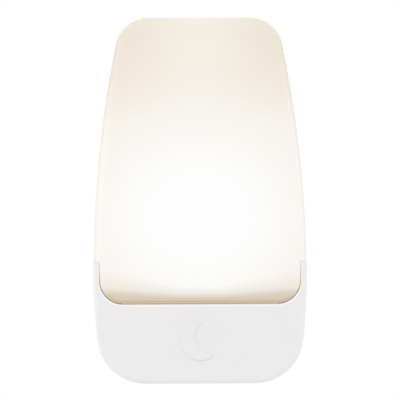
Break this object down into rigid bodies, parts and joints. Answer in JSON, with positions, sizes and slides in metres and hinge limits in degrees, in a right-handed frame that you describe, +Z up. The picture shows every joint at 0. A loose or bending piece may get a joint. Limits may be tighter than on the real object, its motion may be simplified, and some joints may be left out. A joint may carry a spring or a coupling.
{
  "type": "plug in night light",
  "caption": "Plug-in wall night light: rounded white base with a U-shaped cradle, frosted lens narrowing upwards, flat back with plug blades, side mode switch, light sensor.",
  "frame": {"origin": "midway between the two plug blades, on the plane of the face that meets the wall", "axes": "+Z up, +Y into the wall along the blades, the light shines towards -Y, +X to the viewer's right"},
  "size_m": [0.0582, 0.0479, 0.1],
  "materials": {
    "white_abs": "satin moulded ABS",
    "frosted_polycarbonate": "frosted, lit from inside",
    "white_reflector": "matt white polycarbonate",
    "nickel_plated_brass": "bright nickel plate",
    "black_nylon": "moulded glass-filled nylon",
    "insulating_paper": "fish paper",
    "circuit_board": "solder mask on glass epoxy",
    "solder": "bright tin solder",
    "led_case": "white moulded package",
    "led_phosphor": "phosphor gel, lit",
    "capacitor_sleeve": "shrunk sleeve",
    "film_capacitor_case": "dipped epoxy box",
    "varistor_lacquer": "dipped lacquer",
    "resistor_lacquer": "lacquered body",
    "chip_epoxy": "moulded epoxy",
    "chip_ceramic": "ceramic chip",
    "sensor_cell": "ceramic cell under clear coat",
    "clear_window": "clear polycarbonate",
    "switch_floor": "phenolic board",
    "silver_contact": "silver-plated brass",
    "zinc_plated_steel": "zinc plate"
  },
  "bodies": {
    "light_body": {"front_cover": "white_abs", "rear_housing": "white_abs", "diffuser_lens": "frosted_polycarbonate", "reflector": "white_reflector", "left_blade": "nickel_plated_brass", "right_blade": "nickel_plated_brass", "blade_holder": "black_nylon", "insulating_sheet": "insulating_paper", "main_board": "circuit_board", "solder_joints": "solder", "led_packages": "led_case", "led_phosphor": "led_phosphor", "smoothing_capacitor": "capacitor_sleeve", "film_capacitor": "film_capacitor_case", "surge_varistor": "varistor_lacquer", "fusible_resistor": "resistor_lacquer", "bridge_rectifier": "chip_epoxy", "driver_chip": "chip_epoxy", "chip_resistors": "chip_ceramic", "photocell": "sensor_cell", "sensor_window": "clear_window", "switch_base": "switch_floor", "switch_terminals": "silver_contact", "switch_frame": "zinc_plated_steel", "housing_screws": "zinc_plated_steel", "board_screws": "zinc_plated_steel"},
    "mode_slider": {"switch_slider": "black_nylon", "switch_wiper": "silver_contact", "switch_knob": "white_abs"}
  },
  "joints": [
    {"name": "mode_switch_slide", "type": "slide", "parent": "light_body", "child": "mode_slider", "axis": [0, 0, 1], "range_m": [-0.002, 0.002]}
  ]
}
